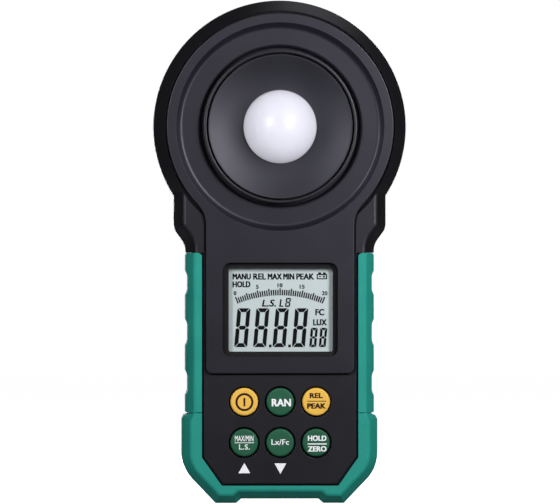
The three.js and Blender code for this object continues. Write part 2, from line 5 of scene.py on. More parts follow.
import bmesh
import bpy
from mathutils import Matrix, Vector


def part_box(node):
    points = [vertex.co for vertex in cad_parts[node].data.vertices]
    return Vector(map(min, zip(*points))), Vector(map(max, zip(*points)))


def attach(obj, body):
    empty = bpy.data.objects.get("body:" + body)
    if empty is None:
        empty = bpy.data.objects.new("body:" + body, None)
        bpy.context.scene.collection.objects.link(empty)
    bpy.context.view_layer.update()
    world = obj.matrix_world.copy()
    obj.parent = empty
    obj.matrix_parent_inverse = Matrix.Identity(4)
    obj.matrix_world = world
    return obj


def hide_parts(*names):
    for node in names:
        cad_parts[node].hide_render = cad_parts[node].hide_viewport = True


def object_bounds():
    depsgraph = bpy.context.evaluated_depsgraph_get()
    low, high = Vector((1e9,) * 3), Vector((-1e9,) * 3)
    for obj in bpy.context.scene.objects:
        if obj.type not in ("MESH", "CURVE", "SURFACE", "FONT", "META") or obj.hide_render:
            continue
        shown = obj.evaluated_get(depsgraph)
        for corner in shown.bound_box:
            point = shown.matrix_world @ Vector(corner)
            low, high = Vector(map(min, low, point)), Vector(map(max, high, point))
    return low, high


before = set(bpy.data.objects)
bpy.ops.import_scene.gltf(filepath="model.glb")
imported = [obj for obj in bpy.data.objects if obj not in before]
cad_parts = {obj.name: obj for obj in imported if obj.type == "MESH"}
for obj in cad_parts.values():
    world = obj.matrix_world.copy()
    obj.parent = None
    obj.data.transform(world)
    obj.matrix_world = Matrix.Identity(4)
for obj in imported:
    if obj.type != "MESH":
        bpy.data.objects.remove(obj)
cad_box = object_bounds()

MM = 0.001


# ---------------------------------------------------------------------------
# Camera
# The meter is looked at square on, from a little to the left of its face, at
# half its height, through a long lens.

CAMERA_DISTANCE = 3.0
CAMERA_LEFT = math.radians(1.6)
CAMERA_ASIDE = 0.25 * MM
CAMERA_DROP = 0.12 * MM
FOCAL_LENGTH = 469.9
FURTHEST_SEEN = 20
camera_data = bpy.data.cameras.new("camera")
camera_data.lens = FOCAL_LENGTH
camera_data.clip_end = FURTHEST_SEEN
camera = bpy.data.objects.new("camera", camera_data)
bpy.context.scene.collection.objects.link(camera)
camera.location = (
    CAMERA_ASIDE - CAMERA_DISTANCE * math.sin(CAMERA_LEFT),
    -CAMERA_DISTANCE * math.cos(CAMERA_LEFT),
    (cad_box[0][2] + cad_box[1][2]) / 2 - CAMERA_DROP,
)
camera.rotation_euler = (math.radians(90), 0, -CAMERA_LEFT)
bpy.context.scene.camera = camera


# ---------------------------------------------------------------------------
# Front housing
# The front half of the case, injection moulded in black ABS: the bevelled rim
# of the head, the two shoulders, and the bare deck that the keys come through.
# Six screws from the back pull it onto the rear housing.

def box_mm(node):
    """The lowest and highest corners of a CAD node, in millimetres."""
    return [Vector(corner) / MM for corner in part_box(node)]


def deselect():
    """Leaves edit mode, with nothing selected."""
    if bpy.context.mode != "OBJECT":
        bpy.ops.object.mode_set(mode="OBJECT")
    bpy.ops.object.select_all(action="DESELECT")


def take(piece):
    """Makes a piece the only selected and active one."""
    deselect()
    piece.select_set(True)
    bpy.context.view_layer.objects.active = piece


def pick(piece, kind, test):
    """In edit mode, selects only the faces or edges that pass a test."""
    bpy.ops.mesh.select_mode(type="FACE" if kind == "faces" else "EDGE")
    bpy.ops.mesh.select_all(action="DESELECT")
    mesh = bmesh.from_edit_mesh(piece.data)
    for item in getattr(mesh, kind):
        if test(item):
            item.select_set(True)
    mesh.select_flush_mode()
    bmesh.update_edit_mesh(piece.data)


def turned(name, profile, x, z, sides=128):
    """A solid turned about a line along Y, from (radius, depth) steps. It is capped at both ends,
    unless the profile comes back to its start."""
    deselect()
    radius, depth = profile[0]
    bpy.ops.mesh.primitive_circle_add(
        vertices=sides, radius=radius * MM, location=(x * MM, depth * MM, z * MM),
        rotation=(math.radians(90), 0, 0), fill_type="NOTHING")
    piece = bpy.context.object
    piece.name = name
    bpy.ops.object.transform_apply(location=True, rotation=True, scale=True)
    bpy.ops.object.mode_set(mode="EDIT")
    bpy.ops.mesh.select_mode(type="VERT")
    bpy.ops.mesh.select_all(action="SELECT")
    for next_radius, next_depth in profile[1:]:
        bpy.ops.mesh.extrude_region_move(
            TRANSFORM_OT_translate={"value": (0, (next_depth - depth) * MM, 0)})
        ratio = next_radius / radius
        bpy.ops.transform.resize(
            value=(ratio, 1, ratio), center_override=(x * MM, next_depth * MM, z * MM))
        radius, depth = next_radius, next_depth
    bpy.ops.mesh.select_all(action="SELECT")
    bpy.ops.mesh.remove_doubles(threshold=0.002 * MM)
    if profile[0] != profile[-1]:
        for end_depth in (profile[0][1], profile[-1][1]):
            pick(piece, "edges", lambda edge: edge.is_boundary and all(
                abs(v.co.y - end_depth * MM) < 0.001 * MM for v in edge.verts))
            bpy.ops.mesh.edge_face_add()
    bpy.ops.mesh.select_all(action="SELECT")
    bpy.ops.mesh.normals_make_consistent(inside=False)
    bpy.ops.object.mode_set(mode="OBJECT")
    return piece


def slab(name, outline, front, back, inset=0, rise=0, edge=0, heel=0, ends="F", steps=4):
    """A flat outline of (x, z) points, drawn point by point and pushed back from `front` to
    `back`. At its front, its back or both (`ends`), the face slopes in by `inset` over `rise`,
    and `edge` and `heel` round the two ends of that slope."""
    deselect()
    start = front + (rise if "F" in ends else 0)
    stop = back - (rise if "B" in ends else 0)
    x, z = outline[0]
    bpy.ops.mesh.primitive_plane_add(size=MM, location=(x * MM, start * MM, z * MM))
    piece = bpy.context.object
    piece.name = name
    bpy.ops.object.transform_apply(location=True, rotation=True, scale=True)
    bpy.ops.object.mode_set(mode="EDIT")
    bpy.ops.mesh.select_mode(type="VERT")
    bpy.ops.mesh.select_all(action="SELECT")
    bpy.ops.mesh.merge(type="CENTER")
    for next_x, next_z in outline[1:]:
        bpy.ops.mesh.extrude_region_move(
            TRANSFORM_OT_translate={"value": ((next_x - x) * MM, 0, (next_z - z) * MM)})
        x, z = next_x, next_z
    bpy.ops.mesh.select_all(action="SELECT")
    bpy.ops.mesh.edge_face_add()
    bpy.ops.mesh.extrude_region_move(
        TRANSFORM_OT_translate={"value": (0, (stop - start) * MM, 0)})
    bpy.ops.mesh.select_all(action="SELECT")
    bpy.ops.mesh.normals_make_consistent(inside=False)
    for end, way, face_y, slope_y in (("F", -1, front, start), ("B", 1, back, stop)):
        if end not in ends:
            continue
        if inset:
            pick(piece, "faces", lambda face: way * face.normal.y > 0.99)
            bpy.ops.mesh.inset(thickness=inset * MM, depth=rise * MM)
        for place, width in ((face_y, edge), (slope_y, heel)):
            if width:
                pick(piece, "edges", lambda line: all(
                    abs(v.co.y - place * MM) < 0.001 * MM for v in line.verts))
                bpy.ops.mesh.bevel(offset=width * MM, segments=steps, clamp_overlap=False)
    bpy.ops.object.mode_set(mode="OBJECT")
    return piece


def block(x0, x1, y0, y1, z0, z1, edge=0):
    """A box between two corners, with its edges softened by `edge`."""
    deselect()
    bpy.ops.mesh.primitive_cube_add(
        size=1, location=[(a + b) / 2 * MM for a, b in ((x0, x1), (y0, y1), (z0, z1))])
    piece = bpy.context.object
    piece.scale = [(b - a) * MM for a, b in ((x0, x1), (y0, y1), (z0, z1))]
    bpy.ops.object.transform_apply(location=True, rotation=True, scale=True)
    if edge:
        bpy.ops.object.mode_set(mode="EDIT")
        bpy.ops.mesh.select_all(action="SELECT")
        bpy.ops.mesh.bevel(offset=edge * MM, segments=3)
        bpy.ops.object.mode_set(mode="OBJECT")
    return piece


def combine(piece, others, operation):
    """Joins other solids to a piece, or cuts them out of it."""
    take(piece)
    for other in others:
        modifier = piece.modifiers.new(operation, "BOOLEAN")
        modifier.operation = operation
        modifier.object = other
        modifier.solver = "EXACT"
        bpy.ops.object.modifier_apply(modifier=modifier.name)
        bpy.data.objects.remove(other)
    return piece


def smooth(piece, angle=32):
    """Smooth shading that keeps hard edges hard and wide faces flat."""
    take(piece)
    bpy.ops.object.shade_smooth_by_angle(angle=math.radians(angle), keep_sharp_edges=False)
    modifier = piece.modifiers.new("flat faces", "WEIGHTED_NORMAL")
    modifier.keep_sharp = True
    modifier.weight = 90
    bpy.ops.object.modifier_apply(modifier=modifier.name)


def arc(x, z, radius, start, end, steps):
    """Points round part of a circle, from one angle to another in degrees, both included."""
    angles = [math.radians(start + (end - start) * i / steps) for i in range(steps + 1)]
    return [(x + radius * math.cos(a), z + radius * math.sin(a)) for a in angles]


def bend(start, control, end, steps):
    """Points along a soft curve that starts and ends in line with its control point."""
    points = []
    for i in range(1, steps + 1):
        t = i / steps
        points.append(tuple(
            (1 - t) ** 2 * s + 2 * t * (1 - t) * c + t * t * e
            for s, c, e in zip(start, control, end)))
    return points


def mirrored(half):
    """A closed outline from its right-hand half, given from top to bottom."""
    return [(-x, z) for x, z in reversed(half)] + half


def rounded(x0, x1, z0, z1, corner, steps=6):
    """A rectangle with round corners."""
    left, right, low, high = x0 + corner, x1 - corner, z0 + corner, z1 - corner
    return (arc(right, high, corner, 90, 0, steps) + arc(right, low, corner, 0, -90, steps)
            + arc(left, low, corner, -90, -180, steps) + arc(left, high, corner, 180, 90, steps))


def moulded(name, dark, light, grain, bump, rough, specular=0.5, drift=70, relief=0.05,
            tint=(1, 1, 1, 1)):
    """A moulded surface: a fine spark-eroded grain, with a faint drift in its shade and gloss.
    `grain` and `drift` are how fine the two patterns are, and `relief` is the grain's depth in
    millimetres."""
    material = bpy.data.materials.new(name)
    material.use_nodes = True
    nodes, links = material.node_tree.nodes, material.node_tree.links
    shader = nodes["Principled BSDF"]
    shader.inputs["Specular IOR Level"].default_value = specular
    shader.inputs["Specular Tint"].default_value = tint
    place = nodes.new("ShaderNodeTexCoord")
    cloud = nodes.new("ShaderNodeTexNoise")
    cloud.inputs["Scale"].default_value = drift
    cloud.inputs["Detail"].default_value = 4
    ramp = nodes.new("ShaderNodeValToRGB")
    ramp.color_ramp.elements[0].position = 0.3
    ramp.color_ramp.elements[0].color = (*dark, 1)
    ramp.color_ramp.elements[1].position = 0.7
    ramp.color_ramp.elements[1].color = (*light, 1)
    gloss = nodes.new("ShaderNodeMapRange")
    gloss.inputs["To Min"].default_value = rough[0]
    gloss.inputs["To Max"].default_value = rough[1]
    pits = nodes.new("ShaderNodeTexNoise")
    pits.inputs["Scale"].default_value = grain
    pits.inputs["Detail"].default_value = 3
    height = nodes.new("ShaderNodeBump")
    height.inputs["Strength"].default_value = bump
    height.inputs["Distance"].default_value = relief * MM
    links.new(place.outputs["Object"], cloud.inputs["Vector"])
    links.new(place.outputs["Object"], pits.inputs["Vector"])
    links.new(cloud.outputs["Fac"], ramp.inputs["Fac"])
    links.new(cloud.outputs["Fac"], gloss.inputs["Value"])
    links.new(ramp.outputs["Color"], shader.inputs["Base Color"])
    links.new(gloss.outputs["Result"], shader.inputs["Roughness"])
    links.new(pits.outputs["Fac"], height.inputs["Height"])
    links.new(height.outputs["Normal"], shader.inputs["Normal"])
    return material


def dress(piece, material, body, slot, *nodes):
    """Gives a finished piece its material and body, and hides the CAD nodes it stands for. The slot
    it is handed is not used.
    """
    piece.data.materials.clear()
    piece.data.materials.append(material)
    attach(piece, body)
    if nodes:
        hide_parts(*nodes)


front_low, front_high = box_mm("front_housing")
rear_high = box_mm("rear_housing")[1]
dish_low, dish_high = box_mm("sensor_dish")
jacket_low, jacket_high = box_mm("front_grip_jacket")
plate_low, plate_high = box_mm("face_plate")
window_low, window_high = box_mm("display_window")
GAP = 0.3
PLATE_THICKNESS = 2.8
HEAD_Z = (dish_low.z + dish_high.z) / 2
HEAD_RADIUS = front_high.x
RIM_Y = front_low.y
DECK_Y = jacket_low.y
FRONT_SHELL_END = front_high.y
REAR_SHELL_START = FRONT_SHELL_END + GAP
BACK_Y = rear_high.y
JACKET_TOP = jacket_high.z
FACE_Y = plate_high.y - PLATE_THICKNESS
POCKET_Y = plate_high.y + GAP
WINDOW_Z = (window_low.z + window_high.z) / 2
HEAD_SIDES = 160

# The outlines of the neck with its shoulders, of the part under the jackets, and of the deck.
# They end at depths a hair apart, so that no two faces lie in one plane when they are joined.
STEP = 0.02
NECK_HALF = [
    (43.4, HEAD_Z - 13), (43.4, 114.6),
    *bend((43.4, 114.6), (43.4, 112.2), (42.0, 110.6), 5),
    (40.4, 108.4),
    *bend((40.4, 108.4), (38.6, 106.0), (38.6, 103.6), 5),
    (38.6, 90),
]
CORE = mirrored([(35.6, 112), (35.6, 19.8), (25.2, 4.2)])
DECK = mirrored([(31.4, 104.2), (31.4, 19.1), (23.5, 7.9)])

# The whole case is shaped as one solid, hollowed, and then cut in two at the parting line.
shell = turned("shell", [
    (46.8, RIM_Y), (47.1, -12.3), (47.45, -12.0), (47.75, -11.5), (48.15, -10.6), (51.25, -5.3),
    (51.65, -4.3), (HEAD_RADIUS, -3.4), (HEAD_RADIUS, 14.6), (51.65, 15.4), (51.2, 16.1),
    (47.4, 21.1), (46.5, 22.2), (45.7, 22.75), (44.8, BACK_Y),
], 0, HEAD_Z, HEAD_SIDES)
neck = slab("neck", mirrored(NECK_HALF), DECK_Y + STEP, BACK_Y - STEP, inset=3.6, rise=6.7,
            edge=1.5, ends="FB", steps=6)
combine(neck, [block(-60, 60, -30, 30, 60, JACKET_TOP + 0.03)], "DIFFERENCE")
core = slab("core", CORE, -8.5, 20.3)
deck = slab("deck", DECK, DECK_Y, BACK_Y - 2 * STEP, edge=0.5, ends="FB")
combine(shell, [neck, core, deck], "UNION")

# The hollow inside the case: the head, the neck and grip, the board, and the keypad mat.
HOLLOW_RADIUS = 49.5
HOLLOW_HALF = 33.4
combine(shell, [
    turned("hollow", [(46.0, -7.7), (HOLLOW_RADIUS, -3.4), (HOLLOW_RADIUS, 14.3), (44.6, 20.8)],
           0, HEAD_Z, 96),
    slab("hollow", mirrored([(HOLLOW_HALF, HEAD_Z - 20), (HOLLOW_HALF, 21), (24.2, 6.4)]),
         -6.3, 18.1),
    block(-29.2, 29.2, -6.2, 20.7, 24, 101),
    block(-22.6, 22.6, -8.7, 0, 15.5, 51.0),
], "DIFFERENCE")


def copied(piece, name, x=0, y=0, z=0):
    """A copy of a finished piece, with its own mesh, moved by that much."""
    twin = piece.copy()
    twin.data = piece.data.copy()
    twin.name = name
    bpy.context.scene.collection.objects.link(twin)
    take(twin)
    twin.location = (x * MM, y * MM, z * MM)
    bpy.ops.object.transform_apply(location=True, rotation=True, scale=True)
    return twin


def half_of(piece, name, keep_front, y):
    """One half of a piece, cut across at a depth and closed."""
    half = copied(piece, name)
    bpy.ops.object.mode_set(mode="EDIT")
    bpy.ops.mesh.select_all(action="SELECT")
    bpy.ops.mesh.bisect(plane_co=(0, y * MM, 0), plane_no=(0, 1, 0), use_fill=True,
                        clear_outer=keep_front, clear_inner=not keep_front)
    bpy.ops.object.mode_set(mode="OBJECT")
    return half


front = half_of(shell, "front_shell", True, FRONT_SHELL_END)
rear = half_of(shell, "rear_shell", False, REAR_SHELL_START)
bpy.data.objects.remove(shell)


def lip_outline(grow):
    """Round the inside of the case at the parting line, this far into its wall."""
    radius, half = HOLLOW_RADIUS + grow, HOLLOW_HALF + grow
    turn = math.degrees(math.acos(half / radius))
    return mirrored(arc(0, HEAD_Z, radius, 89, -turn, 72)
                    + [(half, 20.7 - 0.25 * grow), (24.2 + 0.45 * grow, 6.4 - grow)])


# The outline of the face plate, and the pocket that it lies in. The other cuts are the rebate for
# the rear housing's lip, the sensor's groove and well, the display opening, and the key holes.
PLATE_DISC = plate_high.x
PLATE_HALF = 30.4
PLATE_FILLET = 12
PLATE_CORNER = 2.5


def plate_outline(grow, steps=72):
    """A disc that runs into the display panel, with hollow corners between them."""
    radius, half, fillet = PLATE_DISC + grow, PLATE_HALF + grow, PLATE_FILLET - grow
    centre = half + fillet
    drop = math.sqrt((radius + fillet) ** 2 - centre ** 2)
    turn = math.degrees(math.atan2(drop, centre))
    step = (90 + turn) / (steps + 0.5)
    corner = PLATE_CORNER + grow
    return mirrored(
        arc(0, HEAD_Z, radius, 90 - step / 2, -turn, steps)
        + arc(centre, HEAD_Z - drop, fillet, 180 - turn, 180, 10)[1:]
        + arc(half - corner, plate_low.z - grow + corner, corner, 0, -90, 6))


KEYS = ["power_button", "range_button", "rel_peak_button",
        "max_min_button", "unit_button", "hold_zero_button"]
key_places = {}
cuts = [
    slab("rebate", lip_outline(1.1), FRONT_SHELL_END - 1.5, FRONT_SHELL_END + 5),
    slab("pocket", plate_outline(0.55), -20, POCKET_Y),
    turned("groove", [(31.7, -12), (31.7, -8.6), (33.1, -8.6), (33.1, -12), (31.7, -12)],
           0, HEAD_Z, HEAD_SIDES),
    turned("well", [(18.3, -20), (18.3, 0)], 0, HEAD_Z, 64),
    slab("sight", rounded(-21.75, 21.75, WINDOW_Z - 17.5, WINDOW_Z + 17.5, 1.0), -20, 0),
]
for key in KEYS:
    key_low, key_high = box_mm(key)
    key_places[key] = ((key_low.x + key_high.x) / 2, (key_low.z + key_high.z) / 2)
    cuts.append(turned("key_hole", [
        (6.8, -14), (6.8, DECK_Y - 0.1), (6.45, DECK_Y + 0.05), (6.2, DECK_Y + 0.3),
        (6.1, DECK_Y + 0.6), (6.1, -5),
    ], *key_places[key], 64))
combine(front, cuts, "DIFFERENCE")
smooth(front)
SHEEN = (0.90, 0.89, 1.0, 1)
black_plastic = moulded("black plastic", (0.0020, 0.0020, 0.0028), (0.0032, 0.0031, 0.0043),
                        3600, 0.28, (0.39, 0.45), specular=0.48, tint=SHEEN)
dress(front, black_plastic, "case", "housing_black", "front_housing")


# ---------------------------------------------------------------------------
# Rear housing
# The back half of the case, in the same black ABS: deep wells for the case
# screws, the battery bay with its ledge, and the recess that the tilt stand
# folds into, with blind holes for its pin.

def crossbar(x0, x1, y, z, radius, sides=48, turn=0):
    """A round bar along X, turned level about its middle by an angle in degrees."""
    deselect()
    bpy.ops.mesh.primitive_cylinder_add(
        vertices=sides, radius=radius * MM, depth=(x1 - x0) * MM,
        location=((x0 + x1) / 2 * MM, y * MM, z * MM),
        rotation=(0, math.radians(90), math.radians(turn)))
    bpy.ops.object.transform_apply(location=True, rotation=True, scale=True)
    return bpy.context.object


door_low, door_high = box_mm("battery_door")
HINGE_Y, HINGE_Z = 21.0, 114.5
PIN_BORE = 1.15
DOOR_SCREW_Z = 13.4
BAY = (-14.0, 14.0, 1.4, 30, 17.5, 71.4)
CASE_SCREWS = [f"case_screw_{i}" for i in range(1, 7)]
screw_places = []
for screw in CASE_SCREWS:
    screw_low, screw_high = box_mm(screw)
    screw_places.append(((screw_low.x + screw_high.x) / 2, (screw_low.z + screw_high.z) / 2))

# Added: the screw posts, the walls of the battery bay, the door's ledge, and the stand's pocket.
posts = [turned("post", [(4.2, 6.2), (4.2, 21.3)], x, z, 32) for x, z in screw_places]
combine(rear, [
    block(-15.5, 15.5, 0.2, 21, 16.0, 72.9),
    block(-18.8, 18.8, 17.9, 21.6, 8.0, 75.6),
    block(-26, 26, 16.4, 21.5, 75.4, 119.5),
] + posts, "UNION")

# Cut: the bay, the door's seat, the way out for the leads, the stand's recess with room for its
# rolled edge and pin, the hole for the door's screw, and the wells and shank holes.
wells = [turned("well", [(3.0, 8.9), (3.0, 22.3), (3.4, 22.75), (4.2, 23.4), (4.2, 30)], x, z, 32)
         for x, z in screw_places]
shanks = [turned("shank", [(1.55, 5), (1.55, 10)], x, z, 16) for x, z in screw_places]
combine(rear, [
    block(*BAY),
    block(door_low.x - GAP, door_high.x + GAP, 20.6, 31, door_low.z - GAP, door_high.z + GAP),
    block(-6.5, 6.5, 1.5, 13.5, 70.4, 75.3),
    slab("stand_recess", rounded(-20.3, 20.3, 77.5, 117.3, 1.2), 19.9, 32),
    block(-20.5, 20.5, 18.6, 33, 111, 117.6),
    crossbar(-24.3, 24.3, HINGE_Y, HINGE_Z, PIN_BORE, 24),
    turned("door_screw_hole", [(1.5, 15), (1.5, 34)], 0, DOOR_SCREW_Z, 24),
] + wells + shanks, "DIFFERENCE")

# The lip that closes the parting line from inside.
lip = slab("lip", lip_outline(0.9), FRONT_SHELL_END - 1.2, REAR_SHELL_START + 0.6)
combine(lip, [slab("inside", lip_outline(0.03), -20, 20)], "DIFFERENCE")
combine(rear, [lip], "UNION")
smooth(rear)
dress(rear, black_plastic, "case", "housing_black", "rear_housing")


# ---------------------------------------------------------------------------
# Case screws
# Six zinc-plated steel screws with cross heads. Each one sits at the bottom of
# its well in the rear housing and bites into the front housing.

def steel_like(name, dark, light, rough):
    """Plated steel, with a fine directionless haze."""
    material = moulded(name, dark, light, 2600, 0.12, rough, drift=300, relief=0.02)
    material.node_tree.nodes["Principled BSDF"].inputs["Metallic"].default_value = 1.0
    return material


SLOT_HALF = 0.33
zinc = steel_like("zinc plate", (0.52, 0.53, 0.55), (0.66, 0.67, 0.68), (0.28, 0.40))
first_x, first_z = screw_places[0]
screw = turned("screw_head", [
    (1.15, -2.6), (1.25, -2.4), (1.25, 9.2), (2.6, 9.2), (2.7, 9.35), (2.66, 10.0), (2.45, 10.6),
    (2.0, 11.0), (1.3, 11.17), (0.5, 11.2),
], first_x, first_z, 32)
combine(screw, [
    block(first_x - 1.5, first_x + 1.5, 10.3, 12, first_z - SLOT_HALF, first_z + SLOT_HALF),
    block(first_x - SLOT_HALF, first_x + SLOT_HALF, 10.3, 12, first_z - 1.5, first_z + 1.5),
], "DIFFERENCE")
smooth(screw)
screws = [screw] + [copied(screw, "copy", x - first_x, 0, z - first_z)
                    for x, z in screw_places[1:]]
for number, (piece, node) in enumerate(zip(screws, CASE_SCREWS), 1):
    piece.name = f"case_screw_head_{number}"
    dress(piece, zinc, "case", "steel", node)


# ---------------------------------------------------------------------------
# Grip jackets
# Soft green rubber, moulded over each half of the grip: a flat band beside the
# deck, a sloping shoulder with three finger recesses, and below a groove the
# wider bumper that ends in two feet.

JACKET_HALF = [
    (38.6, JACKET_TOP + 10), (38.6, 37.2), (40.0, 34.4), (40.0, 19.1),
    *bend((40.0, 19.1), (39.4, 13.4), (35.1, 9.2), 8),
    (26.3, 0.0), (17.9, 0.0), (15.8, 1.8),
]
GROOVE_Z = 36.8
SLOPE_ANGLE = 55.8
BARE_DECK = mirrored([(32.0, 112), (32.0, 18.85), (23.85, 7.25)])
RECESSES_Z = [(95.3, 85.3), (75.4, 64.6), (54.4, 44.2)]

# Both jackets are shaped as one block, cut out for the case under them and for the bare deck.
jacket = slab("jacket", mirrored(JACKET_HALF), DECK_Y, BACK_Y, inset=3.4, rise=5.0,
              edge=0.9, heel=1.6, ends="FB", steps=5)
cuts = [
    slab("core_space", mirrored([(35.9, 120), (35.9, 19.65), (25.35, 3.9)]), -8.8, 20.6),
    slab("deck_space", BARE_DECK, -20, 30),
]

# On each side: the step at the top, the finger recesses, and the groove above the bumper.
for side in (1, -1):
    corner = [(20, 130), (20, 99.9), (31.6, 99.9), *arc(34.1, 100.0, 2.5, 180, 90, 8),
              *arc(37.3, 101.2, 1.3, 90, 0, 6), (45, 101.2), (45, 130)]
    cuts.append(slab("top", [(side * x, z) for x, z in corner], -30, 30))
    for top, bottom in RECESSES_Z:
        hollow = [
            (45, top + 0.6), (38.7, top + 0.6),
            *bend((38.7, top + 0.6), (38.6, top), (38.2, top - 0.7), 3),
            *bend((38.2, top - 0.7), (37.65, top - 1.7), (37.65, top - 2.6), 4),
            (37.65, bottom + 2.6),
            *bend((37.65, bottom + 2.6), (37.65, bottom + 1.7), (38.2, bottom + 0.7), 4),
            *bend((38.2, bottom + 0.7), (38.6, bottom), (38.7, bottom - 0.6), 3),
            (45, bottom - 0.6),
        ]
        cuts.append(slab("recess", [(side * x, z) for x, z in hollow], -30, 30))
    notch = [(45, 38.4), (38.9, 37.5), (37.5, 37.1), (37.4, 36.8), (37.5, 36.5), (39.2, 36.0),
             (45, 35.4)]
    cuts.append(slab("notch", [(side * x, z) for x, z in notch], -30, 30))
    for face_y, way in ((DECK_Y, 1), (BACK_Y, -1)):
        flat = sorted((side * 31, side * 36.3))
        slope = sorted((side * 34.4, side * 41.0))
        cuts.append(crossbar(*flat, face_y - 0.15 * way, GROOVE_Z, 0.70, 4))
        cuts.append(crossbar(*slope, face_y + 3.2 * way, GROOVE_Z, 0.65, 4,
                             way * side * SLOPE_ANGLE))
combine(jacket, cuts, "DIFFERENCE")

green_rubber = moulded("green rubber", (0.0110, 0.248, 0.190), (0.0160, 0.278, 0.216),
                       2800, 0.35, (0.60, 0.70), specular=0.22, drift=90)
front_jacket = half_of(jacket, "front_jacket", True, FRONT_SHELL_END + GAP / 3)
rear_jacket = half_of(jacket, "rear_jacket", False, REAR_SHELL_START - GAP / 3)
smooth(front_jacket)
smooth(rear_jacket)
dress(front_jacket, green_rubber, "case", "jacket_green", "front_grip_jacket")
dress(rear_jacket, green_rubber, "case", "jacket_green", "rear_grip_jacket")
bpy.data.objects.remove(jacket)


# ---------------------------------------------------------------------------
# Face plate
# A dark grey moulding, bonded into the front housing: a disc with a sunk ring
# and a bore round the sensor, running down into the display panel.

plate = slab("face_plate_moulding", plate_outline(0), FACE_Y, plate_high.y, edge=0.45)
sunk = turned("sunk", [
    (44.0, -18), (42.8, FACE_Y - 0.1), (42.5, FACE_Y + 0.08), (42.3, FACE_Y + 0.35),
    (41.2, -11.95), (40.8, -11.62), (40.3, -11.45), (39.7, -11.4), (10.0, -11.4),
], 0, HEAD_Z, HEAD_SIDES)
combine(plate, [
    sunk,
    turned("bore", [(34.2, -11.8), (33.6, -11.37), (33.0, -11.2), (32.6, -10.9), (32.4, -10.5),
                    (32.4, 0)], 0, HEAD_Z, HEAD_SIDES),
    slab("opening", rounded(-23.55, 23.55, WINDOW_Z - 19.2, WINDOW_Z + 19.2, 3.4, 8), -20, 0),
], "DIFFERENCE")
smooth(plate)
charcoal = moulded("charcoal plastic", (0.0034, 0.0031, 0.0062), (0.0048, 0.0044, 0.0082),
                   3000, 0.30, (0.39, 0.45), specular=0.52, tint=SHEEN)
dress(plate, charcoal, "case", "plate_charcoal", "face_plate")


# ---------------------------------------------------------------------------
# Sensor: retaining ring, dish and diffuser
# A slim black ring holds a satin dark grey dish, sprayed and dished towards
# the white opal diffuser that stands proud at its middle.

ring = turned("sensor_ring", [
    (30.2, plate_high.y), (30.2, -15.25), (30.28, -15.42), (30.5, -15.5), (30.95, -15.5),
    (31.25, -15.42), (31.4, -15.2), (31.4, plate_high.y), (30.2, plate_high.y),
], 0, HEAD_Z, HEAD_SIDES)
smooth(ring)
dress(ring, black_plastic, "case", "plate_charcoal", "retaining_ring")

DISH_STEPS = 24
DISH_RADIUS, DISH_HOLE = 29.2, 15.0
DISH_EDGE_Y, DISH_DEPTH = -14.6, 2.6
dish = turned("dish", [(29.5, plate_high.y), (29.5, -14.35), (29.4, -14.55)] + [
    (DISH_RADIUS - (DISH_RADIUS - DISH_HOLE) * t,
     DISH_EDGE_Y + DISH_DEPTH * math.sin(t * math.pi / 2))
    for t in [i / DISH_STEPS for i in range(DISH_STEPS + 1)]
] + [(DISH_HOLE, plate_high.y), (29.5, plate_high.y)], 0, HEAD_Z, HEAD_SIDES)
smooth(dish)
satin_grey = moulded("satin grey", (0.0055, 0.0055, 0.0085), (0.0075, 0.0075, 0.0110),
                     1800, 0.10, (0.43, 0.49), specular=0.47, tint=SHEEN)
dress(dish, satin_grey, "case", "dish_grey", "sensor_dish")

# The dome is a cap of a ball on a flange, with a wall of even thickness.
dome_low = box_mm("diffuser_dome")[0]
DOME_BASE = 14.8
DOME_BASE_Y = -12.2
DOME_WALL = 1.5
DOME_TOP_ANGLE = 0.012
cap_height = DOME_BASE_Y - dome_low.y
cap_radius = (DOME_BASE ** 2 + cap_height ** 2) / (2 * cap_height)
cap_centre = dome_low.y + cap_radius
cap_angle = math.asin(DOME_BASE / cap_radius)


def dome_arc(radius, steps):
    """Profile points from the foot of the cap to just short of its top."""
    angles = [cap_angle * i / steps for i in range(steps, 0, -1)] + [DOME_TOP_ANGLE]
    return [(radius * math.sin(a), cap_centre - radius * math.cos(a)) for a in angles]


dome = turned("opal_dome", [(17.9, POCKET_Y + 1.2), (17.9, POCKET_Y), (DOME_BASE, POCKET_Y)]
              + dome_arc(cap_radius, 36), 0, HEAD_Z, 128)
inner_dome = turned("inner", [(13.2, 5), (13.2, POCKET_Y + 1.3)]
                    + dome_arc(cap_radius - DOME_WALL, 18), 0, HEAD_Z, 64)
combine(dome, [inner_dome], "DIFFERENCE")
smooth(dome)
# The dome's emission is painted light: a faint bluish-white glow that lifts its shaded lower side
# and edges, standing in for light thrown up from below and scattered through the opal.
DOME_PAINTED_LIGHT = 0.275
OPAL_DEPTH = 12 * MM
opal = moulded("opal acrylic", (0.535, 0.530, 0.625), (0.555, 0.550, 0.645), 900, 0.02,
               (0.22, 0.27), specular=0.3)
opal_shader = opal.node_tree.nodes["Principled BSDF"]
opal_shader.inputs["Subsurface Weight"].default_value = 0.8
opal_shader.inputs["Subsurface Radius"].default_value = (0.9, 0.9, 1.0)
opal_shader.inputs["Subsurface Scale"].default_value = OPAL_DEPTH
opal_shader.inputs["Emission Color"].default_value = (0.94, 0.93, 1.0, 1)
opal_shader.inputs["Emission Strength"].default_value = DOME_PAINTED_LIGHT
dress(dome, opal, "case", "dome_white", "diffuser_dome")


# ---------------------------------------------------------------------------
# Display: window, printed border and liquid crystal panel
# A clear acrylic window lies in the face plate. Its black printed border shows
# only the active part of the grey-green panel behind it.

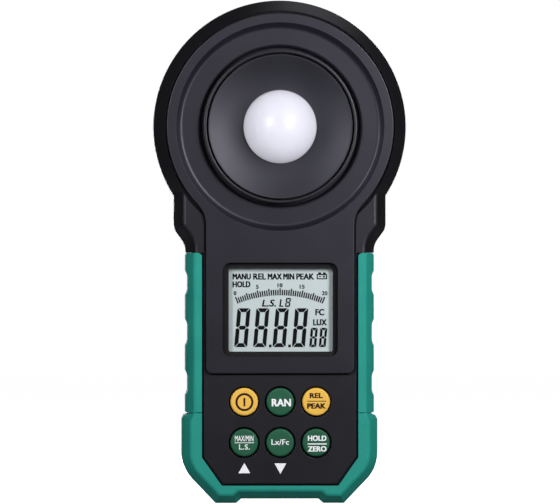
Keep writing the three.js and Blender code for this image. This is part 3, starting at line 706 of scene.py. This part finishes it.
WINDOW_CORNER = 3.1
pane = slab("window_pane", rounded(window_low.x, window_high.x, window_low.z, window_high.z,
                                   WINDOW_CORNER, 8),
            window_low.y, window_high.y, edge=0.35)
smooth(pane)
clear = moulded("clear acrylic", (0.010, 0.011, 0.013), (0.012, 0.013, 0.015),
                500, 0.02, (0.08, 0.14), specular=0.15)
clear.node_tree.nodes["Principled BSDF"].inputs["Alpha"].default_value = 0.06
clear.surface_render_method = "BLENDED"
dress(pane, clear, "case", "window_clear", "display_window")

border = slab("window_border", rounded(-23.3, 23.3, WINDOW_Z - 18.95, WINDOW_Z + 18.95,
                                       WINDOW_CORNER, 8), -10.14, -9.96)
combine(border, [slab("sight", (
    arc(20.0, 94.8, 1.5, 90, 0, 6) + arc(20.8, 62.8, 0.7, 0, -90, 4)
    + arc(-20.3, 62.8, 0.7, -90, -180, 4) + arc(-20.3, 95.6, 0.7, 180, 90, 4)), -20, 0)],
    "DIFFERENCE")
smooth(border)
ink = moulded("black ink", (0.0030, 0.0030, 0.0038), (0.0045, 0.0045, 0.0055),
              1500, 0.10, (0.50, 0.58), specular=0.3)
dress(border, ink, "case", "window_clear")

panel_glass = moulded("liquid crystal panel", (0.600, 0.690, 0.672), (0.620, 0.715, 0.697),
                      2500, 0.05, (0.35, 0.42), drift=30)
segment_ink = moulded("dark segments", (0.002, 0.003, 0.003), (0.004, 0.005, 0.005),
                      1500, 0.05, (0.60, 0.68), specular=0.1)

PRINT = 0.06    # the thickness of the printed marks


def gathered(name, parts):
    """One piece made of several separate marks."""
    deselect()
    for part in parts:
        part.select_set(True)
    bpy.context.view_layer.objects.active = parts[0]
    bpy.ops.object.join()
    parts[0].name = name
    return parts[0]


def mark(outline, y):
    """A thin printed shape on a surface at that depth."""
    return slab("mark", outline, y - PRINT, y)


def bar(x0, x1, z0, z1, y):
    """A thin printed bar on a surface at that depth."""
    return mark([(x0, z0), (x1, z0), (x1, z1), (x0, z1)], y)


def words(text, x0, x1, z0, z1, y, weight=0.06, slant=0.0):
    """Thin printed letters that fill a box on a surface at that depth. Four more impressions of
    them, `weight` off to each side and a little up or down, make them bolder."""
    lift = 0.55 * weight
    deselect()
    bpy.ops.object.text_add(rotation=(math.radians(90), 0, 0))
    piece = bpy.context.object
    piece.data.body = text
    piece.data.shear = slant
    piece.data.extrude = 0.5
    piece.data.space_character = 1.03
    piece.data.resolution_u = 3
    bpy.ops.object.convert(target="MESH")
    bpy.ops.object.transform_apply(location=True, rotation=True, scale=True)
    low = [min(v.co[i] for v in piece.data.vertices) for i in range(3)]
    high = [max(v.co[i] for v in piece.data.vertices) for i in range(3)]
    scale = [(b - a) * MM / (top - bottom) for (a, b), bottom, top in zip(
        ((x0 + weight, x1 - weight), (y - PRINT, y), (z0 + lift, z1 - lift)), low, high)]
    piece.scale = scale
    piece.location = [a * MM - s * bottom for a, s, bottom in zip(
        (x0 + weight, y - PRINT, z0 + lift), scale, low)]
    bpy.ops.object.transform_apply(location=True, rotation=True, scale=True)
    bpy.ops.object.mode_set(mode="EDIT")
    bpy.ops.mesh.select_all(action="SELECT")
    bpy.ops.mesh.remove_doubles(threshold=0.001 * MM)
    bpy.ops.mesh.normals_make_consistent(inside=False)
    bpy.ops.object.mode_set(mode="OBJECT")
    return gathered(text, [piece] + [
        copied(piece, text, dx * weight, 0.002 * (i + 1), dz * lift)
        for i, (dx, dz) in enumerate(((-1, -1), (-1, 1), (1, -1), (1, 1)))])


LCD_Y = box_mm("lcd_panel")[0].y
BOLD, SEMIBOLD, SCALE_BOLD = 0.145, 0.13, 0.10
SLANT = 0.2
legends = [
    words("MANU", -19.4, -11.9, 91.55, 94.05, LCD_Y, BOLD),
    words("REL", -10.95, -5.65, 91.55, 94.05, LCD_Y, BOLD),
    words("MAX", -5.0, 0.8, 91.55, 94.05, LCD_Y, BOLD),
    words("MIN", 1.35, 5.9, 91.55, 94.05, LCD_Y, BOLD),
    words("PEAK", 6.7, 14.0, 91.55, 94.05, LCD_Y, BOLD),
    words("HOLD", -19.4, -12.05, 88.35, 90.85, LCD_Y, BOLD),
    words("FC", 14.5, 18.2, 76.85, 79.5, LCD_Y, BOLD),
    words("LUX", 13.6, 19.2, 72.75, 75.3, LCD_Y, BOLD),
    words("L.S.", -7.4, -1.6, 80.45, 83.35, LCD_Y, SEMIBOLD, SLANT),
    words("L", -0.3, 1.4, 80.4, 83.5, LCD_Y, SEMIBOLD, SLANT),
    words("0", -18.9, -17.8, 85.1, 86.8, LCD_Y, SCALE_BOLD),
    words("5", -9.8, -8.7, 87.7, 89.4, LCD_Y, SCALE_BOLD),
    words("10", -1.0, 1.1, 88.35, 90.0, LCD_Y, SCALE_BOLD),
    words("15", 8.05, 10.15, 87.8, 89.45, LCD_Y, SCALE_BOLD),
    words("20", 17.2, 19.45, 85.1, 86.8, LCD_Y, 0.08),
]

# Battery sign: a case with two stubs, a minus and a plus.
battery_sign = mark(rounded(15.05, 19.35, 91.65, 93.85, 0.3, 2), LCD_Y)
combine(battery_sign, [slab("inside", rounded(15.5, 18.9, 92.1, 93.4, 0.15, 2), -20, 0)],
        "DIFFERENCE")
legends += [battery_sign,
            bar(15.75, 16.85, 93.75, 94.45, LCD_Y), bar(17.65, 18.75, 93.75, 94.45, LCD_Y),
            bar(15.95, 16.85, 92.55, 92.95, LCD_Y), bar(17.55, 18.55, 92.55, 92.95, LCD_Y),
            bar(17.85, 18.25, 92.25, 93.25, LCD_Y)]

# Bar graph: fine strokes along an arc, with every fifth one longer.
ARC_X, ARC_Z, ARC_RADIUS, ARC_SPAN, STROKES = 0.1, 39.2, 45.9, 22.0, 41
STROKE_HALF, SHORT_STROKE, LONG_STROKE = 0.28, 2.3, 2.9
for i in range(STROKES):
    angle = math.radians(ARC_SPAN * (2 * i / (STROKES - 1) - 1))
    length = LONG_STROKE if i % 5 == 0 else SHORT_STROKE
    across = (math.cos(angle) * STROKE_HALF, -math.sin(angle) * STROKE_HALF)
    foot = (ARC_X + ARC_RADIUS * math.sin(angle), ARC_Z + ARC_RADIUS * math.cos(angle))
    tip = (foot[0] + length * math.sin(angle), foot[1] + length * math.cos(angle))
    legends.append(mark([
        (foot[0] - across[0], foot[1] - across[1]), (foot[0] + across[0], foot[1] + across[1]),
        (tip[0] + across[0], tip[1] + across[1]), (tip[0] - across[0], tip[1] - across[1]),
    ], LCD_Y))


def digit(x, z, width, height, stroke, lean):
    """A slanted seven-segment figure eight, with the corners of its segments cut off."""
    gap = stroke * 0.07
    half = height / 2
    w, t = width, stroke
    segments = []
    for base, way in ((height, -1), (0, 1)):
        inner = base + way * t
        segments.append([(gap + 0.25 * t, base), (w - gap - 0.25 * t, base),
                         (w - t - gap, inner), (t + gap, inner)])
        for side, inward in ((0, 1), (w, -1)):
            segments.append([
                (side, base + way * (gap + 0.3 * t)), (side + inward * 0.12 * t, base + way * gap),
                (side + inward * t, base + way * (t + gap)),
                (side + inward * t, half - way * (t / 2 + gap)),
                (side + inward * t / 2, half - way * gap),
                (side, half - way * (gap + 0.3 * t)),
            ])
    segments.append([(t * 0.6 + gap, half), (t + gap, half + t / 2), (w - t - gap, half + t / 2),
                     (w - t * 0.6 - gap, half), (w - t - gap, half - t / 2),
                     (t + gap, half - t / 2)])
    shift = math.tan(math.radians(lean))
    return gathered("digit", [
        mark([(x + px + pz * shift, z + pz) for px, pz in outline], LCD_Y)
        for outline in segments])


# The four large digits, the two small ones, and one behind L, with two decimal points.
large = digit(-18.75, 63.9, 5.35, 15.9, 1.62, 5)
legends += [large] + [copied(large, "digit", step) for step in (7.75, 15.7, 23.65)]
small = digit(12.0, 63.9, 2.85, 7.9, 1.0, 5)
legends += [small, copied(small, "digit", 3.9), digit(2.0, 80.35, 2.05, 3.7, 0.6, 9)]
legends += [bar(x, x + 1.1, 63.8, 64.95, LCD_Y) for x in (-4.5, 3.4)]
legend_piece = gathered("display_legends", legends)
dress(legend_piece, segment_ink, "case", "lcd_glass")


# ---------------------------------------------------------------------------
# Keys
# Six silicone keys, two gold and four green, with printed legends. Each stands
# on a black skirt that is wider than its hole, so that it can't fall out.

gold = moulded("gold silicone", (0.74, 0.435, 0.055), (0.80, 0.475, 0.068),
               2400, 0.15, (0.50, 0.60), specular=0.35)
key_green = moulded("green silicone", (0.0070, 0.082, 0.038), (0.0100, 0.096, 0.046),
                    2400, 0.15, (0.50, 0.60), specular=0.3)
# The skirts are black as painted shade: it makes the gap round each cap read dark, as the shade
# down the key holes does.
key_gap_shade = moulded("black silicone as gap shade", (0.0020, 0.0020, 0.0024), (0.0035, 0.0035, 0.0042),
                      2400, 0.2, (0.60, 0.70), specular=0.2)
brown_ink = moulded("brown ink", (0.026, 0.006, 0.002), (0.034, 0.008, 0.003),
                    1500, 0.05, (0.60, 0.68), specular=0.2)
white_ink = moulded("white ink", (0.82, 0.83, 0.82), (0.88, 0.89, 0.88),
                    1500, 0.05, (0.50, 0.58))
key_low, key_high = box_mm(KEYS[0])
KEY_FRONT, KEY_BACK = key_low.y, key_high.y
key_x, key_z = key_places[KEYS[0]]

# The cap and the skirt are turned once, for the power key, and copied for the other five.
key_cap = turned("power_key_cap", [
    (5.5, -8.42), (5.65, -8.6), (5.65, KEY_FRONT + 0.6), (5.6, KEY_FRONT + 0.38),
    (5.45, KEY_FRONT + 0.19), (5.2, KEY_FRONT + 0.06), (4.9, KEY_FRONT + 0.01),
    (4.5, KEY_FRONT),
], key_x, key_z, 64)
smooth(key_cap, 40)
key_skirt = turned("power_key_skirt", [
    (6.7, KEY_BACK), (6.7, -8.55), (6.55, -8.4), (5.0, -8.4), (5.0, KEY_BACK),
], key_x, key_z, 64)
smooth(key_skirt, 40)
for key in KEYS:
    x, z = key_places[key]
    name = key.replace("_button", "_key_cap")
    piece = key_cap if key == KEYS[0] else copied(key_cap, name, x - key_x, 0, z - key_z)
    is_gold = key in ("power_button", "rel_peak_button")
    dress(piece, gold if is_gold else key_green, key.replace("_button", "_key"),
          "key_gold" if is_gold else "key_green", key)
    name = key.replace("_button", "_key_skirt")
    skirt = key_skirt if key == KEYS[0] else copied(key_skirt, name, x - key_x, 0, z - key_z)
    dress(skirt, key_gap_shade, key.replace("_button", "_key"), "housing_black")

power_ring = turned("power_ring", [
    (3.7, KEY_FRONT), (3.7, KEY_FRONT - PRINT), (2.8, KEY_FRONT - PRINT), (2.8, KEY_FRONT),
    (3.7, KEY_FRONT),
], -14.65, 41.5, 64)

LEGENDS = {
    "power": (brown_ink, [power_ring, bar(-15.05, -14.25, 39.8, 43.2, KEY_FRONT)]),
    "rel_peak": (brown_ink, [
        words("REL", 12.0, 17.4, 43.1, 45.2, KEY_FRONT, 0.16),
        bar(11.0, 18.8, 41.7, 42.0, KEY_FRONT),
        words("PEAK", 11.0, 18.6, 38.8, 41.0, KEY_FRONT, 0.17)]),
    "range": (white_ink, [words("RAN", -3.5, 4.4, 39.75, 42.8, KEY_FRONT, 0.15)]),
    "max_min": (white_ink, [
        words("MAX/MIN", -18.55, -10.95, 25.45, 27.8, KEY_FRONT, 0.03),
        bar(-18.65, -10.75, 24.75, 25.0, KEY_FRONT),
        words("L.S.", -16.85, -12.5, 22.1, 24.2, KEY_FRONT, 0.04)]),
    "unit": (white_ink, [words("Lx/Fc", -3.6, 3.6, 24.0, 26.3, KEY_FRONT, 0.04)]),
    "hold_zero": (white_ink, [
        words("HOLD", 11.3, 18.9, 25.6, 27.8, KEY_FRONT, 0.12),
        bar(11.2, 19.1, 24.15, 24.6, KEY_FRONT),
        words("ZERO", 11.3, 18.9, 21.25, 23.45, KEY_FRONT, 0.12)]),
}
for key, (paint, marks) in LEGENDS.items():
    piece = gathered(f"{key}_legend", marks)
    dress(piece, paint, f"{key}_key", "key_gold" if paint == brown_ink else "key_green")

arrows = gathered("arrow_marks", [
    mark([(-14.65, 16.6), (-12.25, 12.4), (-17.05, 12.4)], DECK_Y),
    mark([(-2.3, 16.4), (2.5, 16.4), (0.1, 12.1)], DECK_Y),
])
dress(arrows, white_ink, "case", "housing_black")


# ---------------------------------------------------------------------------
# Battery door
# A flat black ABS cover over the bay, with three finger grooves, held by one
# slotted screw. A grey foam pad inside it keeps the battery from rattling.

door = slab("door_panel", rounded(door_low.x, door_high.x, door_low.z, door_high.z, 2, 8),
            door_low.y, door_high.y, edge=0.5, ends="B")
combine(door, [
    turned("seat", [(2.9, 21.7), (2.9, 22.6), (3.4, 23.1), (3.4, 30)], 0, DOOR_SCREW_Z, 48),
    turned("hole", [(1.5, 15), (1.5, 30)], 0, DOOR_SCREW_Z, 32),
] + [slab("finger_groove", rounded(-7, 7, z - 0.6, z + 0.6, 0.55), 22.4, 30)
     for z in (62, 64.5, 67)], "DIFFERENCE")
smooth(door)
dress(door, black_plastic, "door", "housing_black", "battery_door")

door_screw = turned("door_screw_head", [
    (1.1, 17.05), (1.2, 17.2), (1.2, 22.0), (2.4, 22.0), (2.5, 22.1), (2.5, 22.4), (2.38, 22.68),
    (2.0, 22.84), (1.2, 22.9), (0.3, 22.9),
], 0, DOOR_SCREW_Z, 48)
combine(door_screw, [
    block(-1.9, 1.9, 22.5, 30, DOOR_SCREW_Z - 0.35, DOOR_SCREW_Z + 0.35)], "DIFFERENCE")
smooth(door_screw)
dress(door_screw, zinc, "door", "steel", "door_screw")

pad_low, pad_high = box_mm("battery_foam_pad")
pad = slab("foam_pad", rounded(pad_low.x, pad_high.x, pad_low.z, pad_high.z, 1.0),
           pad_low.y, pad_high.y, edge=0.25, ends="FB")
smooth(pad)
foam = moulded("grey foam", (0.075, 0.075, 0.080), (0.115, 0.115, 0.120), 5200, 0.9,
               (0.92, 0.98), specular=0.2, drift=900, relief=0.3)
dress(pad, foam, "door", "foam_grey", "battery_foam_pad")


# ---------------------------------------------------------------------------
# Tilt stand
# A black flap that folds flat into the back, with a thumb notch at its foot,
# on a steel pin through its rolled edge.

stand_half = [
    (20.0, HINGE_Z), (20.0, 84),
    *bend((20.0, 84), (20.0, 79.5), (15, 79.5), 8), (7, 79.5),
    *bend((7, 79.5), (5.5, 82.4), (2, 82.4), 8),
]
stand = slab("stand_flap", mirrored(stand_half), 20.3, 22.8, edge=0.4, ends="FB")
combine(stand, [crossbar(-20.0, 20.0, HINGE_Y, HINGE_Z, 2.0)], "UNION")
combine(stand, [
    crossbar(-30, 30, HINGE_Y, HINGE_Z, PIN_BORE, 24),
    slab("panel", rounded(-12, 12, 91, 107, 2, 8), 21.9, 30),
], "DIFFERENCE")
smooth(stand)
dress(stand, black_plastic, "stand", "housing_black", "tilt_stand")
pin = crossbar(-24.0, 24.0, HINGE_Y, HINGE_Z, 0.85)
pin.name = "hinge_pin"
smooth(pin)
dress(pin, zinc, "case", "steel", "stand_pin")


# ---------------------------------------------------------------------------
# Inside pieces
# The boards, the display stack, the sensor stack and the battery with its snap
# and leads stay as the CAD draws them, each in its own finish.

circuit = moulded("solder resist", (0.006, 0.060, 0.026), (0.012, 0.090, 0.040),
                  1400, 0.25, (0.30, 0.40), drift=400)
white_abs = moulded("white plastic", (0.68, 0.68, 0.69), (0.74, 0.74, 0.75), 2400, 0.15,
                    (0.45, 0.55))
grey_silicone = moulded("grey silicone", (0.24, 0.24, 0.25), (0.28, 0.28, 0.29), 2400, 0.2,
                        (0.6, 0.7))
epoxy = moulded("black epoxy", (0.008, 0.008, 0.008), (0.014, 0.014, 0.014), 2400, 0.3,
                (0.55, 0.65))
filter_tint = moulded("tinted filter", (0.14, 0.33, 0.33), (0.18, 0.38, 0.38), 400, 0.02,
                      (0.08, 0.12))
flex_film = moulded("polyimide film", (0.50, 0.20, 0.02), (0.60, 0.26, 0.03), 1500, 0.1,
                    (0.30, 0.38))
can = moulded("lacquered can", (0.035, 0.055, 0.090), (0.055, 0.080, 0.120), 1200, 0.08,
              (0.24, 0.32), drift=60)
red_pvc = moulded("red insulation", (0.42, 0.012, 0.008), (0.50, 0.018, 0.012), 1200, 0.1,
                  (0.40, 0.50))
black_pvc = moulded("black insulation", (0.008, 0.008, 0.008), (0.014, 0.014, 0.014), 1200, 0.1,
                    (0.40, 0.50))
INSIDE = {
    "lcd_panel": panel_glass, "lcd_frame": white_abs, "lcd_backlight": white_abs,
    "upper_contact_strip": grey_silicone, "lower_contact_strip": grey_silicone,
    "main_board": circuit, "sensor_board": circuit, "meter_chip": epoxy, "buzzer": epoxy,
    "photodiode": epoxy, "crystal": zinc, "ribbon_connector": white_abs,
    "sensor_ribbon": flex_film, "keypad_mat": grey_silicone, "filter_holder": black_plastic,
    "colour_filter": filter_tint, "battery": can, "battery_snap": epoxy, "red_lead": red_pvc,
    "black_lead": black_pvc, "sensor_board_screw_1": zinc, "sensor_board_screw_2": zinc,
    "sensor_board_screw_3": zinc,
}
for node, material in INSIDE.items():
    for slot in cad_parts[node].material_slots:
        slot.material = material


# ---------------------------------------------------------------------------
# Floor, backdrop and lights
# A white floor, two tall soft boxes in front, one to either side, two more
# behind for the back, and a weak one high up for the top edge.

FLOOR_RADIUS = 3.0
PAPER_WHITE = (0.9, 0.9, 0.9, 1)
PAPER_GLOW = 0.93
deselect()
bpy.ops.mesh.primitive_circle_add(
    vertices=96, radius=FLOOR_RADIUS, fill_type="NGON", location=(0, 0, 0))
floor = bpy.context.object
floor.name = "floor"
paper = bpy.data.materials.new("white paper")
paper.use_nodes = True
paper_shader = paper.node_tree.nodes["Principled BSDF"]
paper_shader.inputs["Base Color"].default_value = PAPER_WHITE
paper_shader.inputs["Roughness"].default_value = 0.9
paper_shader.inputs["Emission Color"].default_value = (1, 1, 1, 1)
paper_shader.inputs["Emission Strength"].default_value = PAPER_GLOW
floor.data.materials.append(paper)
floor.visible_diffuse = False
floor.visible_glossy = False
floor.visible_shadow = False


LIGHT_TINT = (0.965, 0.955, 1.0)
LIGHTS_AIM = Vector((0, 0, 0.15))


def softbox(name, azimuth, elevation, distance, width, height, radiance):
    """A rectangular light, in metres, aimed at the middle of the head. Azimuth 0 is straight
    ahead of the face, and positive to its right as seen from the front."""
    a, e = math.radians(azimuth), math.radians(elevation)
    place = LIGHTS_AIM + distance * Vector((
        math.sin(a) * math.cos(e), -math.cos(a) * math.cos(e), math.sin(e)))
    data = bpy.data.lights.new(name, "AREA")
    data.shape = "RECTANGLE"
    data.size = width
    data.size_y = height
    data.energy = radiance * math.pi * width * height
    data.color = LIGHT_TINT
    light = bpy.data.objects.new(name, data)
    bpy.context.scene.collection.objects.link(light)
    light.location = place
    light.rotation_euler = (LIGHTS_AIM - place).to_track_quat("-Z", "Y").to_euler()
    light.visible_camera = False


softbox("left softbox", -33, 13, 0.50, 0.12, 0.22, 17.0)
softbox("right softbox", 31, 13, 0.45, 0.12, 0.22, 24.0)
softbox("high softbox", -32, 120, 0.80, 0.45, 0.45, 0.75)
softbox("left rear softbox", -167, 3, 0.70, 0.16, 0.30, 8.0)
softbox("right rear softbox", 166, 4, 0.70, 0.16, 0.30, 11.0)

# The room: a weak light all round, stronger from the floor, and plain white behind the meter.
FLOOR_BOUNCE, ROOM_FILL = 0.27, 0.07
STEEPLY_DOWN, SLIGHTLY_DOWN = -0.85, -0.30
world = bpy.data.worlds.new("studio")
world.use_nodes = True
sky_nodes, sky_links = world.node_tree.nodes, world.node_tree.links
fill = sky_nodes["Background"]
fill.inputs["Color"].default_value = (*LIGHT_TINT, 1)
heading = sky_nodes.new("ShaderNodeTexCoord")
split = sky_nodes.new("ShaderNodeSeparateXYZ")
bounce = sky_nodes.new("ShaderNodeMapRange")
bounce.inputs["From Min"].default_value = STEEPLY_DOWN
bounce.inputs["From Max"].default_value = SLIGHTLY_DOWN
bounce.inputs["To Min"].default_value = FLOOR_BOUNCE
bounce.inputs["To Max"].default_value = ROOM_FILL
backdrop = sky_nodes.new("ShaderNodeBackground")
backdrop.inputs["Color"].default_value = (1, 1, 1, 1)
backdrop.inputs["Strength"].default_value = 1.0
seen = sky_nodes.new("ShaderNodeLightPath")
either = sky_nodes.new("ShaderNodeMixShader")
sky_links.new(heading.outputs["Generated"], split.inputs["Vector"])
sky_links.new(split.outputs["Z"], bounce.inputs["Value"])
sky_links.new(bounce.outputs["Result"], fill.inputs["Strength"])
sky_links.new(seen.outputs["Is Camera Ray"], either.inputs["Fac"])
sky_links.new(fill.outputs["Background"], either.inputs[1])
sky_links.new(backdrop.outputs["Background"], either.inputs[2])
sky_links.new(either.outputs["Shader"], sky_nodes["World Output"].inputs["Surface"])
bpy.context.scene.world = world
bpy.context.scene.view_settings.view_transform = "Standard"
